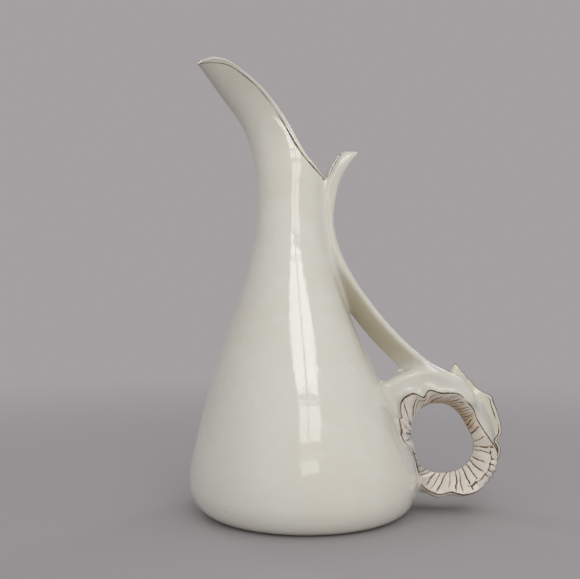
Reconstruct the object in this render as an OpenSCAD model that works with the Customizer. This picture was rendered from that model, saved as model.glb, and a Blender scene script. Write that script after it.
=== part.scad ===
// Glazed ewer: a leaning vessel with a pulled spout, a strap handle and a frilled finger ring.
// The foot stands on z = 0 with its centre at the origin, the spout points to -X, the handle to +X.

/* [Base] */
// Radius of the standing edge of the foot
foot_r = 58; // [50:0.5:62]
// Width of the standing face of the foot ring
foot_face_w = 7; // [4:0.5:10]
// Depth of the hollow turned under the floor
foot_recess = 2; // [1:0.25:3]
// Height of the base slab, where the wall is luted on
base_h = 6; // [5:0.5:9]

/* [Body] */
// Radius at the widest part of the belly
belly_r = 75; // [70:0.5:80]
// Height of the widest part of the belly
belly_z = 20; // [15:0.5:25]
// How far the wall above the belly lies inside the belly's radius
haunch_in_w = 6.5; // [4:0.5:10]
// Height at which that is measured
haunch_z = 50; // [45:0.5:55]
// How far the wall half way up the shoulder lies inside the belly's radius
shoulder_in_w = 21; // [17:0.5:25]
// Height at which that is measured
shoulder_z = 90; // [85:0.5:95]
// Radius at the seam between body and neck
seam_r = 38; // [36:0.5:41]
// Height of that seam
seam_z = 131; // [124:0.5:136]
// How far the neck stands towards the spout from the centre of the foot
lean_w = 8.8; // [0:0.2:12]
// Height at which the lean is complete
lean_z = 140; // [125:1:150]
// Thickness of the body's wall
body_wall = 5; // [4:0.25:7]

/* [Neck and spout] */
// Radius above the seam, where the neck starts to straighten
collar_r = 27; // [25.5:0.25:29]
// Height at which that radius is taken
collar_z = 167; // [160:0.5:174]
// Radius at the narrowest part of the neck
neck_r = 22.8; // [20:0.2:24.6]
// Height of the narrowest part of the neck
neck_z = 206; // [198:0.5:212]
// Height of the top of the spout
spout_top_z = 297.5; // [286:0.5:308]
// How far the spout's tip reaches out past the neck
spout_reach = 41; // [34:0.5:46]
// Height of the notch in the mouth, beside the thumb lip
notch_z = 216; // [212:0.5:221]
// How far the front of the spout's tip droops below its top
tip_droop_h = 3; // [0:0.25:5]
// Thickness of the neck's wall
neck_wall = 4; // [3:0.25:5]
// Thickness of the wall at the spout's tip
tip_wall = 3; // [2:0.25:3.5]

/* [Thumb lip] */
// Height of the tip of the thumb lip
lip_z = 235.5; // [228:0.5:242]
// How far the thumb lip's tip stands out past the back of the neck
lip_reach = 19.5; // [14:0.5:23]
// Thickness of the thumb lip, measured level
lip_t = 9.5; // [7:0.25:11]
// Half width of the thumb lip
lip_half_w = 10; // [8:0.25:12]

/* [Strap handle] */
// Height at which the strap meets the foot of the thumb lip
strap_top_z = 187; // [182:0.5:192]
// How far the strap stands out from the neck at its top
strap_top_t = 5; // [4:0.25:7]
// Thickness of the strap
strap_t = 13.5; // [11:0.25:15]
// Half width of the strap
strap_half_w = 9.5; // [8:0.25:12]
// How far the strap stands out from the ring where it lands
landing_t = 10; // [8:0.25:12]
// Half width of the strap where it spreads over the ring
landing_half_w = 11; // [9:0.25:11.5]

/* [Finger ring] */
// Height of the ring's centre
ring_z = 47.5; // [45:0.25:52]
// Radius of the finger hole
hole_r = 21.5; // [19.5:0.25:23.5]
// Thickness of the ring's core round the hole
ring_wall = 13; // [12.5:0.25:15]
// Half width of the clay web between ring and body
saddle_half_w = 9; // [7:0.25:9.5]
// How high the web's upper edge starts on the body's wall
saddle_z = 85.5; // [80:0.5:88]

/* [Frills] */
// How far the front frill flares out from the hole
front_flare = 9.5; // [8:0.25:10.5]
// How far the front frill stands forward of the hole's waist
front_depth = 18; // [15:0.25:20]
// Radius of the back frill's edge
back_r = 39.5; // [37:0.25:42]
// How far the back frill stands behind the hole's waist
back_depth = 11.5; // [9:0.25:14]
// Thickness of the frills at their root
frill_root_t = 3; // [2.5:0.1:3.5]
// Thickness of the frills at their edge
frill_edge_t = 1.8; // [1.2:0.1:2.4]
// Height of the ruffles on the frills' edges
ruffle_h = 1.6; // [0.5:0.1:2]

/* [Gilding] */
// Thickness of the gold
gilt_t = 0.3; // [0.2:0.05:0.5]
// Width of the gold lines along the mouth and the frills
gilt_w = 1; // [0.6:0.1:1.6]
// Width of the gold lines in the gills
gill_w = 0.8; // [0.5:0.1:1.2]
// Number of gold lines in the gills
gill_count = 36; // [24:2:44]
// Distance of the mouth's gold line below the rim
rim_line_drop = 2; // [1:0.25:4]

/* [Hidden] */

// Slip-filled gap left between luted pieces
joint_gap = 0.2;
// Gap under the gold lines
gilt_gap = 0.1;
// Place of the frills' waist along Y, and of the middle of the strap's landing and of the web
waist_y = 2;
landing_y = -2.5;
saddle_y = -2;

// Columns round the vessel, and rows up the body, the neck and the spout
columns = 40;
body_rows = 12;
neck_rows = 5;
spout_rows = 12;
// Steps along the strap's sweep and its tail, and points round a handle section
strap_steps = 18;
tail_steps = 6;
section_points = 16;
// Columns round the frills
frill_columns = 72;

// Spout section lengths, widths and sweep, as shares of their full size from the neck to the top
SPOUT_LENGTH = [[0, 1], [0.25, 1.05], [0.5, 1.09], [0.75, 1], [0.9, 0.8], [1, 0.5], [1.1, 0.2]];
SPOUT_WIDTH = [[0, 1], [0.25, 0.97], [0.5, 0.82], [0.75, 0.55], [1, 0.24], [1.25, 0]];
SPOUT_SWEEP = [[0, 0], [0.25, 0.045], [0.5, 0.22], [0.75, 0.6], [1, 1], [1.25, 1.4]];
// Place of the mouth's cut rim from the spout's tip to the back of the neck, from the notch to the top
MOUTH = [[0, 1], [0.08, 0.9], [0.21, 0.815], [0.51, 0.665], [0.735, 0.515], [0.915, 0.33], [0.976, 0.245],
    [1, 0.16], [1.05, 0.1]];
// Reach of the frills' edges at each turn about the hole, as shares of front_flare, front_depth and back_r
FRONT_PETAL = [[-180, 0.95], [-167, 0.3], [-155, 0.1], [-149, 0.35], [-132, 0.75], [-108, 1.2], [-97, 1.28],
    [-86, 1.05], [-73, 1.4], [-60, 1.5], [-45, 1.6], [-24, 1.4], [-12, 1.2], [5, 0.6], [25, 0.35], [45, 0.5],
    [59, 0.66], [77, 1], [97, 1], [109, 1.35], [118, 1.1], [125, 1.7], [137, 1.85], [156, 1.35], [173, 1.02],
    [180, 0.95]];
FRONT_STAND = [[-180, 1.4], [-167, 0.8], [-155, 0.5], [-140, 0.9], [-100, 1.02], [-30, 1.02], [5, 0.65],
    [25, 0.45], [45, 0.55], [70, 0.95], [110, 1], [137, 1.1], [156, 1.3], [173, 1.45], [180, 1.4]];
BACK_PETAL = [[-180, 0.95], [-110, 1.02], [-89, 1.01], [-50, 1.07], [-22, 1.03], [-6, 0.93], [8, 0.97],
    [34, 1.02], [46, 0.96], [58, 1], [67, 1.12], [78, 1.22], [86, 1.03], [120, 0.97], [180, 0.95]];

glaze = [0.90, 0.88, 0.82];
glaze_shade = [0.86, 0.83, 0.75];
gold = [0.62, 0.45, 0.20];

function lerp(a, b, t) = a + (b - a) * t;
function ease(t) = let(u = min(max(t, 0), 1)) u * u * (3 - 2 * u);
function mean(points) = [for (k = [0:2]) let(all = [for (p = points) p[k]]) all * [for (v = all) 1] / len(all)];

// Smooth curve through [place, value] knots, with level ends
function knot_slope(k, i) = i == 0 || i == len(k) - 1 ? 0
    : (k[i + 1][1] - k[i - 1][1]) / (k[i + 1][0] - k[i - 1][0]);
function knot_before(k, x, i = 0) = i >= len(k) - 2 || x < k[i + 1][0] ? i : knot_before(k, x, i + 1);
function curve(k, x) =
    let(i = knot_before(k, x), h = k[i + 1][0] - k[i][0], t = min(max((x - k[i][0]) / h, 0), 1),
        from = k[i][1], to = k[i + 1][1], s0 = knot_slope(k, i) * h, s1 = knot_slope(k, i + 1) * h)
    from + t * (s0 + t * (3 * (to - from) - 2 * s0 - s1 + t * (2 * (from - to) + s0 + s1)));

// Cubic curve in the XZ plane and its direction
function bezier(b, t) = let(s = 1 - t)
    s * s * s * b[0] + 3 * s * s * t * b[1] + 3 * s * t * t * b[2] + t * t * t * b[3];
function unit(v) = v / norm(v);

// Vessel: horizontal sections, round up to the neck and oval in the spout
PROFILE = [[belly_z, belly_r], [haunch_z, belly_r - haunch_in_w], [shoulder_z, belly_r - shoulder_in_w],
    [seam_z, seam_r], [collar_z, collar_r], [neck_z, neck_r]];
function round_r(z) = z >= belly_z ? curve(PROFILE, z)
    : foot_r + (belly_r - foot_r) * sqrt(1 - pow(1 - max(z, 0) / belly_z, 2));
function axis_x(z) = -lean_w * ease((z - base_h) / (lean_z - base_h));
function spout_share(z) = (z - neck_z) / (spout_top_z - neck_z);
function half_len(z) = z <= neck_z ? round_r(z) : neck_r * curve(SPOUT_LENGTH, spout_share(z));
function half_w(z) = z <= neck_z ? round_r(z) : neck_r * curve(SPOUT_WIDTH, spout_share(z));
function mid_x(z) = z <= neck_z ? axis_x(z)
    : half_len(z) - lean_w - neck_r - spout_reach * curve(SPOUT_SWEEP, spout_share(z));
function wall_t(z) = z <= seam_z ? body_wall
    : z <= neck_z ? lerp(body_wall, neck_wall, (z - seam_z) / (neck_z - seam_z))
    : lerp(neck_wall, tip_wall, spout_share(z));
function back_x(z) = mid_x(z) + half_len(z);
function vessel_point(z, turn, out = 0) =
    [mid_x(z) + (half_len(z) + out) * cos(turn), (half_w(z) + out) * sin(turn), z];

// Moves a point that lies in the vessel out to its face
function clear_of_vessel(p, gap) =
    let(a = half_len(p[2]) + gap, b = half_w(p[2]) + gap, d = [(p[0] - mid_x(p[2])) / a, p[1] / b], q = norm(d))
    q >= 1 ? p : [mid_x(p[2]) + d[0] / q * a, d[1] / q * b, p[2]];

// Mouth: the turn at which each height of the spout is cut, and the spout's top across its width (-1 to 1)
tip_x = -lean_w - neck_r - spout_reach;
rim_back_x = neck_r - lean_w;
function mouth_x(z) = lerp(tip_x, rim_back_x, curve(MOUTH, (z - notch_z) / (spout_top_z - notch_z)));
function cut_turn(z) = z <= notch_z ? 0 : acos(min(max((mouth_x(z) - mid_x(z)) / half_len(z), -1), 1));
function mouth_turn(z, across) = let(cut = cut_turn(z), crowd = lerp(4, 1, ease(cut / 90)))
    180 - 180 * across + cut * sign(across) * pow(abs(across), crowd);
function mouth_top(across) = spout_top_z - tip_droop_h * pow(1 - across * across, 2);

// Ring: polar places about the finger hole, which runs along Y
flare_angle = atan2(front_flare, front_depth);
front_len = norm([front_flare, front_depth]);
ring_r = hole_r + ring_wall;
ring_x = back_x(ring_z) + hole_r + frill_root_t * cos(flare_angle) + joint_gap;
function ring_point(r, y, turn) = [ring_x + r * cos(turn), y, ring_z + r * sin(turn)];
function clear_of_ring(p, gap) =
    let(d = [p[0] - ring_x, p[2] - ring_z], r = norm(d), need = ring_r + gap)
    r >= need ? p : [ring_x + d[0] / r * need, p[1], ring_z + d[1] / r * need];

// Closed skins over rows of points: a loop of rows, or a run of rows with capped ends
function skin_faces(rows, n, loop) =
    [for (i = [0:rows - (loop ? 1 : 2)], j = [0:n - 1])
        let(up = (i + 1) % rows, next = (j + 1) % n)
        each [[i * n + j, up * n + j, up * n + next], [i * n + j, up * n + next, i * n + next]]];
function cap_faces(start, n, centre, flip) =
    [for (j = [0:n - 1]) let(a = start + j, b = start + (j + 1) % n) flip ? [centre, b, a] : [centre, a, b]];

module loop_skin(rows) {
    polyhedron([for (row = rows) each row], skin_faces(len(rows), len(rows[0]), true), convexity = 8);
}

module run_skin(rows) {
    n = len(rows[0]);
    count = len(rows);
    points = [for (row = rows) each row];
    polyhedron(concat(points, [mean(rows[0]), mean(rows[count - 1])]),
        concat(skin_faces(count, n, false), cap_faces(0, n, count * n, false),
            cap_faces((count - 1) * n, n, count * n + 1, true)), convexity = 8);
}

// Base slab with its foot ring
module base() {
    corner_steps = 6;
    color(glaze_shade)
    rotate_extrude($fn = 96)
    polygon(concat(
        [[0, base_h], [0, foot_recess], [foot_r - foot_face_w - foot_recess, foot_recess],
            [foot_r - foot_face_w, 0], [foot_r, 0]],
        [for (i = [1:corner_steps])
            let(z = base_h * (1 - cos(90 * i / corner_steps))) [round_r(z), z]]));
}

// Belly and shoulder wall
module body() {
    function row_z(i) = let(t = i / body_rows) lerp(base_h, seam_z, t * (0.6 + 0.4 * t));
    color(glaze)
    loop_skin([for (c = [0:columns - 1]) let(turn = 360 * c / columns)
        concat([for (i = [0:body_rows]) vessel_point(row_z(i), turn, -wall_t(row_z(i)))],
            [for (i = [body_rows:-1:0]) vessel_point(row_z(i), turn)])]);
}

// Neck and spout, with a rounded rim along the cut mouth
module neck_spout() {
    last = neck_rows + spout_rows;
    span = columns + 1;
    inner = (last + 1) * span;
    crest = 2 * inner;
    crest_way = unit([0.3, 0, 0.95]);
    function across(j) = 1 - 2 * j / columns;
    function height(i, j) = i <= neck_rows ? lerp(seam_z, notch_z, i / neck_rows)
        : lerp(notch_z, mouth_top(across(j)), pow((i - neck_rows) / spout_rows, 1.25));
    function wall_point(i, j, depth) = let(z = height(i, j))
        vessel_point(z, mouth_turn(z, across(j)), -depth * wall_t(z));
    function at(i, j) = i * span + (i <= neck_rows ? j % columns : j);
    rim = concat([for (i = [neck_rows:last - 1]) [i, columns]], [for (j = [columns:-1:0]) [last, j]],
        [for (i = [last - 1:-1:neck_rows + 1]) [i, 0]]);
    points = concat(
        [for (i = [0:last], j = [0:columns]) wall_point(i, j, 0)],
        [for (i = [0:last], j = [0:columns]) wall_point(i, j, 1)],
        [for (r = rim) wall_point(r[0], r[1], 0.5) + crest_way * wall_t(height(r[0], r[1])) / 2]);
    walls = [for (i = [0:last - 1], j = [0:columns - 1])
        let(a = at(i, j), b = at(i, j + 1), c = at(i + 1, j + 1), d = at(i + 1, j))
        each [[a, d, c], [a, c, b], [inner + a, inner + c, inner + d], [inner + a, inner + b, inner + c]]];
    seam = [for (j = [0:columns - 1]) let(a = at(0, j), b = at(0, j + 1))
        each [[a, b, inner + b], [a, inner + b, inner + a]]];
    lip = [for (k = [0:len(rim) - 1])
        let(next = (k + 1) % len(rim), a = at(rim[k][0], rim[k][1]), b = at(rim[next][0], rim[next][1]))
        each [[a, b, crest + next], [a, crest + next, crest + k],
            [crest + k, crest + next, inner + b], [crest + k, inner + b, inner + a]]];
    color(glaze) polyhedron(points, concat(walls, seam, lip), convexity = 8);
}

// Handle sections: a rounded bar square to its path, behind the path's outer face
function bar_section(face, out, half_t, half_w, mid_y = 0) =
    [for (k = [0:section_points - 1])
        let(turn = 360 * k / section_points, c = cos(turn), s = sin(turn),
            round_off = pow(pow(abs(c), 3) + pow(abs(s), 3), -1 / 3))
        [face[0] + out[0] * half_t * (c * round_off - 1), mid_y + half_w * s * round_off,
            face[1] + out[1] * half_t * (c * round_off - 1)]];

// Thumb lip: the outer face climbs the back of the neck and flicks out
strap_top = [back_x(strap_top_z) + strap_top_t, strap_top_z];
strap_top_way = unit([0.14, -1]);
lip_way = unit([1, 1]);
lip_pull = 20;
lip_tip = [back_x(notch_z) + lip_reach, lip_z];
LIP = [strap_top, strap_top - lip_pull * strap_top_way, lip_tip - lip_pull * lip_way, lip_tip];

module rear_lip() {
    steps = 14;
    end_round = 0.15;
    top_out = unit([1, -0.17]);
    function way(t) = unit(bezier(LIP, t + 0.01) - bezier(LIP, t - 0.01));
    color(glaze)
    run_skin([for (i = [0:steps])
        let(t = i / steps, d = way(t), out = unit(lerp([d[1], -d[0]], top_out, ease(2 * t - 0.6))),
            last = max(t - 1 + end_round, 0) / end_round, shrink = sqrt(1 - 0.75 * last * last),
            full = lerp(strap_top_t, lip_t, ease(2 * t)) / 2,
            face = bezier(LIP, t) - out * full * (1 - shrink))
        [for (p = bar_section(face, out, full * shrink, lerp(strap_half_w, lip_half_w, t) * shrink))
            clear_of_vessel(p, joint_gap)]]);
}

// Strap: leaves the neck, lands on the ring and runs out along its crown
landing_turn = 92;
tail_turn = 56;
tail_t = 1.5;
landing = [ring_x, ring_z] + (ring_r + landing_t) * [cos(landing_turn), sin(landing_turn)];
landing_way = unit([0.845, -0.534]);
strap_pull = 35;
STRAP = [strap_top, strap_top + strap_pull * strap_top_way, landing - strap_pull * landing_way, landing];
function tail(t) = let(turn = lerp(landing_turn, tail_turn, t))
    [ring_x, ring_z] + lerp(ring_r + landing_t, ring_r + tail_t, t) * [cos(turn), sin(turn)];
function strap_face(t) = t <= 1 ? bezier(STRAP, t) : tail(t - 1);
function strap_way(t) = unit(strap_face(t + 0.01) - strap_face(t - 0.01));
function strap_half_t(t) = lerp(strap_top_t, strap_t, ease(2.5 * t)) / 2;
function landing_share(t) = ease(2.5 * t - 1.5);

module strap_handle() {
    places = concat([for (i = [tail_steps:-1:1]) 1 + i / tail_steps],
        [for (i = [strap_steps:-1:0]) i / strap_steps]);
    color(glaze)
    run_skin([for (t = places)
        let(d = strap_way(t), mid_y = landing_y * landing_share(t),
            half_w = lerp(strap_half_w, landing_half_w, landing_share(t)))
        [for (p = bar_section(strap_face(t), [-d[1], d[0]], strap_half_t(t), half_w, mid_y))
            clear_of_ring(clear_of_vessel(p, joint_gap), joint_gap)]]);
}

// Web between the ring, the strap's underside and the body's wall
module ring_saddle() {
    steps = 8;
    under = 0.86;
    low_turns = [106, 160];
    d = strap_way(under);
    high_start = strap_face(under) - [-d[1], d[0]] * (2 * strap_half_t(under) + joint_gap);
    high_end = [back_x(saddle_z) - body_wall / 2, saddle_z];
    sag = [0, 0.03 * norm(high_end - high_start)];
    function low(t) = let(turn = lerp(low_turns[0], low_turns[1], t))
        [ring_x, ring_z] + (ring_r + joint_gap) * [cos(turn), sin(turn)];
    function high(t) = lerp(high_start, high_end, t) + 4 * t * (1 - t) * sag;
    function row(t, size) = let(rise = high(t) - low(t), out = unit(rise), half = norm(rise) / 2)
        [for (p = bar_section(high(t) - out * half * (1 - size), out, half * size, saddle_half_w * size, saddle_y))
            clear_of_ring(clear_of_vessel(p, joint_gap), joint_gap)];
    color(glaze_shade)
    run_skin(concat([for (i = [0:steps]) row(i / steps, 1)], [for (size = [0.6, 0.3]) row(1, size)]));
}

// Frills: curved strips [radius, y] from the waist (0) to the edge (1), ruffled towards the edge
function frill_t(t) = lerp(frill_root_t, frill_edge_t, t);
function wave(turn) = (sin(9 * turn + 25) + 0.7 * sin(13 * turn + 140)) / 1.4;
function front_strip(t, out, petal = 1, stand = 1) =
    [hole_r + petal * front_flare * pow(t, 1.5) + out * cos(flare_angle),
        waist_y - stand * front_depth * t + out * sin(flare_angle)];
function front_point(turn, t, out) =
    let(s = front_strip(t, out, curve(FRONT_PETAL, turn), curve(FRONT_STAND, turn)), lift = ruffle_h * t * t * t)
    clear_of_vessel(ring_point(s[0], s[1] - lift * wave(turn), turn), joint_gap + frill_t(t) - out);
function back_strip(t, out, petal = 1) =
    let(s = 1 - t, root = [hole_r, waist_y + joint_gap], bend = [1.05 * hole_r, waist_y + 0.6 * back_depth],
        edge = [petal * back_r, waist_y + back_depth], turn = lerp(flare_angle, -65, t))
    s * s * root + 2 * s * t * bend + t * t * edge + out * [cos(turn), sin(turn)];
function back_point(turn, t, out) =
    let(s = back_strip(t, out, curve(BACK_PETAL, turn)), lift = ruffle_h * t * t * t)
    clear_of_vessel(ring_point(s[0], s[1] + lift * wave(turn + 75), turn), joint_gap + frill_t(t) - out);
function frill_turn(c) = lerp(-180, 180, c / frill_columns);

module front_frill() {
    steps = 5;
    color(glaze)
    loop_skin([for (c = [0:frill_columns - 1]) let(turn = frill_turn(c))
        concat([for (i = [0:steps]) front_point(turn, i / steps, 0)],
            [for (i = [steps:-1:0]) front_point(turn, i / steps, frill_t(i / steps))])]);
}

module back_frill() {
    steps = 5;
    color(glaze)
    loop_skin([for (c = [0:frill_columns - 1]) let(turn = frill_turn(c))
        concat([for (i = [steps:-1:0]) back_point(turn, i / steps, 0)],
            [for (i = [0:steps]) back_point(turn, i / steps, frill_t(i / steps))])]);
}

// Ring core, between the two frills, closing on the body's wall at both ends
module finger_ring() {
    steps = 40;
    turns = [-136, 136];
    front_share = 0.6;
    back_share = 0.6;
    corner = ring_wall * [0.08, 0.15];
    back_end = back_strip(back_share, frill_t(back_share) + joint_gap + ruffle_h / 4);
    function frill_face(t, clear, turn) =
        front_strip(t, frill_t(t) + clear, max(curve(FRONT_PETAL, turn), 1), max(curve(FRONT_STAND, turn), 1));
    function outline(turn) =
        let(front_root = frill_face(0.1, joint_gap, turn),
            front_end = frill_face(front_share, joint_gap + ruffle_h / 4, turn))
        [front_root, front_end, [ring_r - corner[0], front_end[1]], [ring_r, front_end[1] + corner[1]],
            [ring_r, back_end[1] - corner[1]], [ring_r - corner[0], back_end[1]], back_end];
    color(glaze_shade)
    run_skin([for (i = [0:steps]) let(turn = lerp(turns[0], turns[1], i / steps))
        [for (p = outline(turn)) clear_of_vessel(ring_point(p[0], p[1], turn), joint_gap)]]);
}

// Gold lines: thin raised bands that follow a face
module gilt_rim_line() {
    side_steps = 22;
    tip_steps = 12;
    last = 2 * side_steps + tip_steps;
    start_z = lerp(notch_z, spout_top_z, 0.05);
    shoulder = 0.92;
    function rim_place(k) = k > side_steps + tip_steps ? let(p = rim_place(last - k)) [p[0], 360 - p[1]]
        : k < side_steps ? let(z = lerp(start_z, mouth_top(shoulder), k / side_steps)) [z, cut_turn(z)]
        : let(across = lerp(shoulder, -shoulder, (k - side_steps) / tip_steps), z = mouth_top(across))
            [z, mouth_turn(z, across)];
    function stood(k, drop, out) =
        let(p = rim_place(k), step = rim_place(min(k + 1, last)) - rim_place(max(k - 1, 0)),
            arc = norm([half_len(p[0]) * sin(p[1]), half_w(p[0]) * cos(p[1])]) * PI / 180,
            way = unit([step[0], step[1] * arc]))
        vessel_point(p[0] - way[1] * drop, p[1] + way[0] * drop / arc, out);
    lower = rim_line_drop + gilt_w / 2;
    upper = rim_line_drop - gilt_w / 2;
    color(gold)
    run_skin([for (k = [0:last])
        [stood(k, lower, gilt_gap), stood(k, upper, gilt_gap),
            stood(k, upper, gilt_gap + gilt_t), stood(k, lower, gilt_gap + gilt_t)]]);
}

module gilt_frill_edges() {
    start = 1 - gilt_w / front_len;
    low = gilt_gap;
    high = gilt_gap + gilt_t;
    color(gold) {
        loop_skin([for (c = [0:frill_columns - 1]) let(turn = frill_turn(c))
            [front_point(turn, start, -high), front_point(turn, 1, -high),
                front_point(turn, 1, -low), front_point(turn, start, -low)]]);
        loop_skin([for (c = [0:frill_columns - 1]) let(turn = frill_turn(c))
            [back_point(turn, start, frill_t(start) + low), back_point(turn, start, frill_t(start) + high),
                back_point(turn, 1, frill_edge_t + high), back_point(turn, 1, frill_edge_t + low)]]);
    }
}

module gilt_gills() {
    steps = 5;
    ends = [0.12, 0.92];
    low = gilt_gap;
    high = gilt_gap + gilt_t;
    half = gill_w / 2 / hole_r * 180 / PI;
    color(gold)
    for (g = [0:gill_count - 1])
        let(turn = lerp(-180, 180, (g + 0.5) / gill_count))
        run_skin([for (i = [0:steps]) let(t = lerp(ends[0], ends[1], i / steps))
            [front_point(turn - half, t, -low), front_point(turn + half, t, -low),
                front_point(turn + half, t, -high), front_point(turn - half, t, -high)]]);
}

base();
body();
neck_spout();
rear_lip();
strap_handle();
ring_saddle();
finger_ring();
front_frill();
back_frill();
gilt_rim_line();
gilt_frill_edges();
gilt_gills();
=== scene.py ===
"""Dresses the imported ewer: one thrown vessel with a rolled mouth, a handle luted on in one soft mass,
two thin frills round the finger hole, and worn gold lines. Lengths are in millimetres until a mesh is
made, and in metres on the stage, apart from the window's rows."""

import functools
import math

import bmesh
import bpy
import numpy as np
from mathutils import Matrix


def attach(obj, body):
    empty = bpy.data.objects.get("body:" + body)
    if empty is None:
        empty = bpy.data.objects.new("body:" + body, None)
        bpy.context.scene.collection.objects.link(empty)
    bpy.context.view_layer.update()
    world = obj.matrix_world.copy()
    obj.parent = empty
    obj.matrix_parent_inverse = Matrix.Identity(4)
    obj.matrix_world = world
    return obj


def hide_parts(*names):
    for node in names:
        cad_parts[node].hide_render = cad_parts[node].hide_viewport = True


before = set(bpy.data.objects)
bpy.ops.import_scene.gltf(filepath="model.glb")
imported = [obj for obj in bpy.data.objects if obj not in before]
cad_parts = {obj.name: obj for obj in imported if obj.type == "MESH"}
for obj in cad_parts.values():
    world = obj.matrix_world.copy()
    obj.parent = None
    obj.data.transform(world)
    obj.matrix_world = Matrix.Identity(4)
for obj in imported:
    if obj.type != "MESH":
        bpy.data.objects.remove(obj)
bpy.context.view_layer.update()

# Sizes of the vessel
FOOT_R, FOOT_RECESS = 58.0, 2.0
BASE_H = 6.0
BELLY_R, BELLY_Z = 75.0, 20.0
NECK_R, NECK_Z = 22.8, 206.0
SEAM_Z = 131.0
LEAN, LEAN_Z = 8.8, 140.0
SPOUT_TOP_Z, SPOUT_REACH = 297.5, 41.0
NOTCH_Z = 216.0
TIP_DROOP, TIP_END_DROP = 3.2, 1.7
BODY_WALL, NECK_WALL, TIP_WALL = 5.0, 4.0, 3.0
FLOOR_FILLET = 7.0
RIDGE_H, WANDER_H = 0.012, 0.12
JOIN_GAP = 0.2
# Share by which the neck is drawn in, where that starts, and its height
DRAWN_IN, DRAWN_Z, DRAWN_H = 0.16, 165.0, 82.0
# Rolled rim at the tip: the length that stands up, its way, its share and its extra height
NOSE_L, NOSE_WAY, NOSE_TURN, NOSE_LIFT = 14.0, (0.3, 0, 0.95), 0.9, 0.9
# Underside from the middle out, as radius and height: a hollow, a round step, and the standing face
UNDERSIDE = [(0.5, FOOT_RECESS), (20, FOOT_RECESS), (40, FOOT_RECESS), (46, 1.98), (48.5, 1.7), (50, 1),
             (51, 0.35), (51.8, 0.05), (53, 0), (55, 0), (57, 0)]
# Radius by height; the spout's length, width and sweep by share of its height; the mouth's cut
PROFILE = [(BELLY_Z, BELLY_R), (50, 68.5), (90, 54), (SEAM_Z, 38), (167, 27), (NECK_Z, NECK_R)]
SPOUT_LENGTH = [(0, 1), (0.25, 1.05), (0.5, 1.09), (0.75, 1), (0.9, 0.8), (1, 0.5), (1.1, 0.2)]
SPOUT_WIDTH = [(0, 1), (0.25, 0.985), (0.5, 0.9), (0.75, 0.67), (1, 0.37), (1.25, 0.11)]
SPOUT_SWEEP = [(0, 0), (0.25, 0.045), (0.5, 0.22), (0.75, 0.6), (1, 1), (1.25, 1.4)]
MOUTH = [(0, 1), (0.08, 0.935), (0.21, 0.826), (0.51, 0.665), (0.735, 0.515), (0.915, 0.33), (0.976, 0.245),
         (1, 0.16), (1.05, 0.1)]

# Sizes of the handle and its ring
RING_Z, RING_STANDOFF = 47.5, 3.0
HOLE_R = 21.5
WAIST_Y = 2.0
FRONT_FLARE, FRONT_DEPTH, FRONT_L = 9.5, 18.0, 20.0
BACK_R, BACK_DEPTH, BACK_L = 39.5, 11.5, 22.0
FRILL_ROOT_T, FRILL_EDGE_T, FRILL_BED = 2.4, 1.1, 1.0
FRONT_RUFFLE, BACK_RUFFLE = 1.2, 1.6
BULGE_H, GROOVE_H = 2.6, 3.0
WEB_Y, WEB_HALF_W = -2.0, 9.5
# The front frill's flap: its turn, half span, first scallop and their step; its fold, reach and scallops
FLAP_TURN, FLAP_HALF, FLAP_FIRST, FLAP_STEP = -36.0, 32.0, -8.0, 6.6
FLAP_FROM, FLAP_OUT, FLAP_BACK, SCALLOP_H = 0.76, 1.3, 8.5, 0.8
# The bar where it leaves the neck, at its thumb lip, and where it lands on the ring
BAR_TOP_Z, BAR_TOP_OUT, BAR_TOP_WAY = 187.0, 5.0, (0.14, -1)
LIP_REACH, LIP_TIP_Z, LIP_END_Z, LIP_WAY, LIP_PULL = 21.8, 236.5, 236.3, (1, 1), 20.0
LIP_ROUND_Z, LIP_ROUND_H = 224.0, 14.0
LANDING_R, LANDING_TURN, LANDING_WAY, STRAP_PULL = 44.5, 92.0, (0.845, -0.534), 35.0
# The bar's depths, half widths, tilts and side shift
BAR_T, LIP_T, STRAP_DEEP, STRAP_HALF_T = 5.0, 9.6, 13.5, 3.1
BAR_HALF_W, LIP_HALF_W, STRAP_HALF_W = 9.5, 10.0, 10.4
LIP_TILT, STRAP_TILT, STRAP_SIDE = 12.0, 38.0, 2.5
# Soft join to the vessel: its reach, its tight stretch, and how far the handle runs inside the wall
JOIN_REACH, TIGHT_REACH, TIGHT_Z, TIGHT_HALF = 5.5, 3.0, 132.0, 28.0
SUNK = 2.2
# Box and cell of the grid from which the handle's skin is drawn
HANDLE_LOW, HANDLE_HIGH, CELL = (2, -30, 4), (136, 20, 242), 0.8
# Radius of the hole at each turn: squeezed at the upper right, slack at the bottom
HOLE = [(-180, 21.2), (-165, 19.9), (-145, 22.5), (-124, 23.8), (-85, 23.4), (-42, 23.5), (-14, 21.3),
        (8, 18.8), (30, 17.8), (50, 18.8), (73, 21), (102, 23.2), (147, 24), (165, 22.6), (180, 21.2)]
# Gill lines: turn at the hole and turn at the frill's edge
GILLS = [(-150, -158), (-138, -150), (-127, -143), (-117, -136), (-110, -130), (-100, -119), (-94, -110),
         (-83, -102), (-76, -90), (-69, -80), (-63, -73), (-55, -64), (-49, -52), (-41, -39), (-32, -29),
         (-22, -14), (-16, -6), (-8, 6), (4, 22), (16, 33), (26, 37), (37, 40), (46, 42.5), (53, 45),
         (60, 50), (69, 54.5), (78, 58.5), (88, 63), (97, 69), (106, 73.5), (115, 78), (122, 90), (131, 98),
         (145, 113), (151, 120), (165, 135), (174, 155), (177, 164), (179.5, 175)]
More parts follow.
